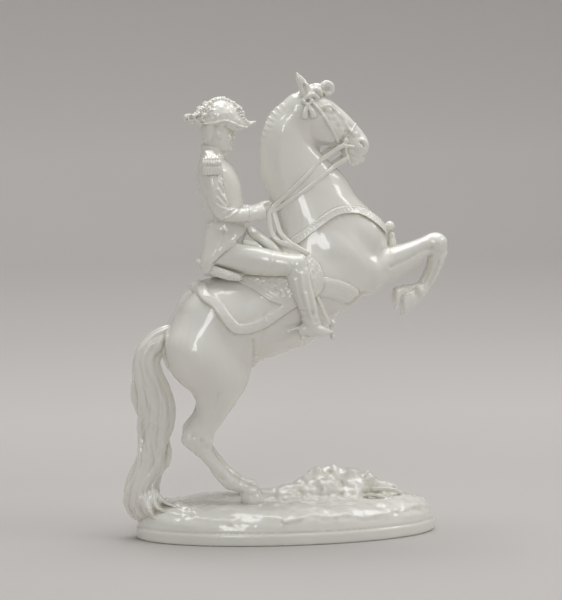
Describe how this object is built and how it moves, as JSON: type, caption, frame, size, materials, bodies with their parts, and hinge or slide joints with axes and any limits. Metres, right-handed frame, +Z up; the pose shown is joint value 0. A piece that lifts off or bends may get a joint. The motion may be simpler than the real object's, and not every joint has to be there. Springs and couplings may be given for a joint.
{
  "type": "equestrian statuette",
  "caption": "Glazed white porcelain rider in tail coat and bicorne on a rearing horse, on a modelled oval base.",
  "frame": {"origin": "middle of the oval base's flat underside", "axes": "+Z up, +X the way the horse faces, -Y the horse's right side"},
  "size_m": [0.2019, 0.086, 0.2799],
  "materials": {
    "white_glaze": "clear gloss glaze over white porcelain"
  },
  "bodies": {
    "root": {"statuette": "white_glaze"}
  },
  "joints": []
}
